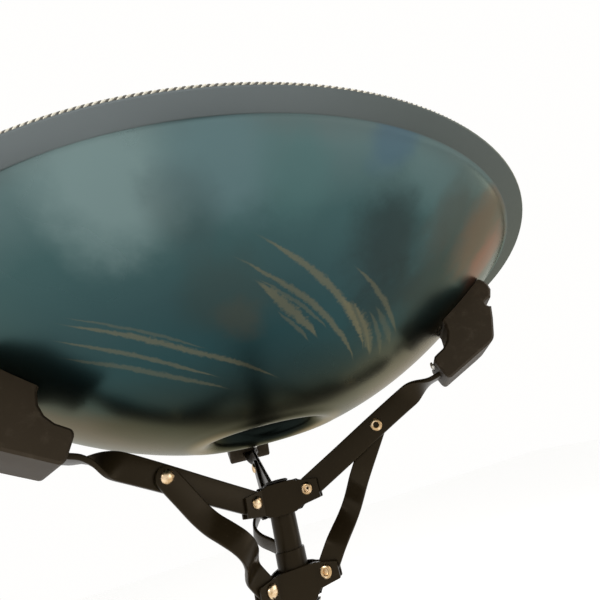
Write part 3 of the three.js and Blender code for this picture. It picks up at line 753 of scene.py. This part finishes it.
dome_radii = [BOWL_RADIUS * math.sin(math.radians(angle)) for angle in range(3, 85, 3)]
circles = [circle(r) for r in sorted(dome_radii + [0.012, 0.020, 0.033, 0.048, 0.060, 0.072])]
top_flange = [
    (BOWL_RADIUS + 0.0004, SHELL + HALF_GLUE), (TOP_FLANGE - 0.0003, SHELL + HALF_GLUE),
    (TOP_FLANGE, SHELL / 2 + HALF_GLUE), (TOP_FLANGE - 0.0003, HALF_GLUE), (BOWL_RADIUS - 0.0014, HALF_GLUE),
]
base_height = RIM_HEIGHT + HALF_GLUE
vertices = [(0, 0, base_height + dome(0, 0))]
for points in circles:
    vertices += [(x, y, base_height + dome(x, y)) for x, y in points]
for r, z in top_flange:
    vertices += [(x, y, RIM_HEIGHT + z) for x, y in circle(r)]
for points in reversed(circles):
    vertices += [(x, y, base_height + dome(x, y) - SHELL) for x, y in points]
vertices.append((0, 0, base_height + dome(0, 0) - SHELL))
faces = []
last_ring = len(vertices) - 1 - ROUND_STEPS
for k in range(ROUND_STEPS):
    n = (k + 1) % ROUND_STEPS
    faces.append((0, 1 + k, 1 + n))
    for a in range(1, last_ring, ROUND_STEPS):
        b = a + ROUND_STEPS
        faces.append((a + k, b + k, b + n, a + n))
    faces.append((last_ring + k, len(vertices) - 1, last_ring + n))


def dome_looks(start, place):
    level = start.node("ShaderNodeVectorMath", {"operation": "MULTIPLY"}, {0: place, 1: (1, 1, 0)})
    radius = start.node("ShaderNodeVectorMath", {"operation": "LENGTH"}, {0: level}, "Value")
    cloud = start.noise(place, 5.0, 3.0)
    drift = start.noise(start.stretched(place, (7, 7, 7), (0.4, 0.2, 1.1)), 1.0, 4.0, 0.6)
    mottle = start.noise(place, 30.0, 5.0, 0.62)
    stops = [
        (0.05, (0.060, 0.090, 0.088)), (0.22, (0.030, 0.062, 0.066)), (0.50, (0.022, 0.056, 0.062)),
        (0.80, (0.036, 0.074, 0.078)), (0.957, (0.085, 0.120, 0.120)),
    ]
    base = start.node("ShaderNodeValToRGB", {"stops": stops}, {0: (radius + (cloud - 0.5) * 0.05) / 0.28})
    base = start.blended(drift.between(0.54, 0.74) * 0.65, base, (0.120, 0.088, 0.052))
    base = start.blended(drift.between(0.50, 0.30) * 0.5, base, (0.040, 0.066, 0.105))
    base = start.blended(mottle.between(0.5, 0.8) * 0.25, base, (0.020, 0.034, 0.036))
    east, north = (start.node("ShaderNodeSeparateXYZ", {}, {0: place}, axis) for axis in "XY")
    bearing = start.maths("ARCTAN2", north, east)
    share = start.maths("FRACT", bearing * (FIELDS / (2 * math.pi)) + float(FIELDS))
    across = (share - 0.5) * (2 * math.pi / FIELDS) * radius / 0.044
    along = (radius - FIELD_RADIUS) / 0.036
    oval = start.maths("SQRT", across * across + along * along)
    # Each tone field is painted paler, with a darker ring round its edge and a tan spot on its dimple; a
    # darker ring also runs round the centre note.
    paler_field = (1.0 - oval.between(0.80, 1.15)) * 0.35
    edge = oval.between(0.75, 0.98) * (1.0 - oval.between(0.98, 1.30))
    dimple = 1.0 - oval.between(0.30, 0.44)
    base = start.blended(paler_field, base, (0.075, 0.120, 0.125))
    base = start.blended(edge * 0.5, base, (0.018, 0.026, 0.030))
    base = start.blended(dimple * 0.4, base, (0.110, 0.095, 0.060))
    note = radius.between(0.030, 0.040) * (1.0 - radius.between(0.056, 0.074))
    base = start.blended(note * 0.45, base, (0.018, 0.026, 0.030))
    rim = radius.between(0.2676, 0.2684)
    base = start.blended(rim, base, FLANGE_TINT)
    return {
        "Base Color": base,
        "Roughness": 0.24 + cloud * 0.08 + mottle * 0.06 + rim * 0.16,
        "Normal": start.bump(start.noise(place, 700.0, 3.0), 0.00002, 0.3),
    }


pale_steel = {"Metallic": 1.0, "Specular Tint": (0.80, 0.78, 0.68, 1.0)}
dome_steel = finish("dome_steel", pale_steel, dome_looks)
piece("top_dome", vertices, faces, dome_steel, "heat_tinted_steel", "pan", ["top_shell"], 50.0)

# Rim cord. Four strands of waxed cord, two cream and two dark, are laid together and glued in the step
# round the flanges. It keeps the two shells' edge from buzzing and hides the glue line.
def strand(name, low_colour, high_colour, dark_colour):
    def looks(start, place):
        fibre = start.noise(place, 2500.0, 2.0)
        cloud = start.noise(place, 60.0, 3.0)
        worn = start.noise(place, 14.0, 2.0).between(0.52, 0.66)
        base = start.blended(cloud, low_colour, high_colour)
        base = start.blended(worn * 0.45, base, dark_colour)
        return {
            "Base Color": start.blended(fibre.between(0.5, 0.8) * 0.6, base, dark_colour),
            "Roughness": 0.45 + fibre * 0.3,
            "Normal": start.bump(fibre, 0.0002, 0.6),
        }

    return finish(name, {"Sheen Weight": 0.2}, looks)


cream_strand = strand("cream_cord", (0.62, 0.58, 0.46), (0.88, 0.85, 0.74), (0.20, 0.18, 0.13))
dark_strand = strand("dark_cord", (0.075, 0.069, 0.056), (0.125, 0.115, 0.092), (0.03, 0.027, 0.022))
low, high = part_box("rim_cord")
ring_radius = (high[0] - low[0]) / 2 - 0.0019
STRAND_RADIUS = 0.00066
LAY_RADIUS = 0.00088
ring_height = low[2] + STRAND_RADIUS + LAY_RADIUS
turns, steps_per_turn, sides = 272, 8, 6
count = turns * steps_per_turn
for k, material in enumerate((cream_strand, dark_strand, cream_strand, dark_strand)):
    vertices, faces = [], []
    for i in range(count):
        around = 2 * math.pi * i / count
        lay = 2 * math.pi * (i / steps_per_turn + k / 4)
        outward = Vector((math.cos(around), math.sin(around), 0))
        centre = outward * (ring_radius + LAY_RADIUS * math.cos(lay))
        centre.z = ring_height + LAY_RADIUS * math.sin(lay)
        following = ((i + 1) % count) * sides
        for n in range(sides):
            a = 2 * math.pi * n / sides
            rise = Vector((0, 0, STRAND_RADIUS * math.sin(a)))
            vertices.append(centre + outward * STRAND_RADIUS * math.cos(a) + rise)
            after = (n + 1) % sides
            faces.append((i * sides + n, i * sides + after, following + after, following + n))
    piece(f"cord_strand_{k + 1}", vertices, faces, material, "cord", "pan", ["rim_cord"], 180.0)
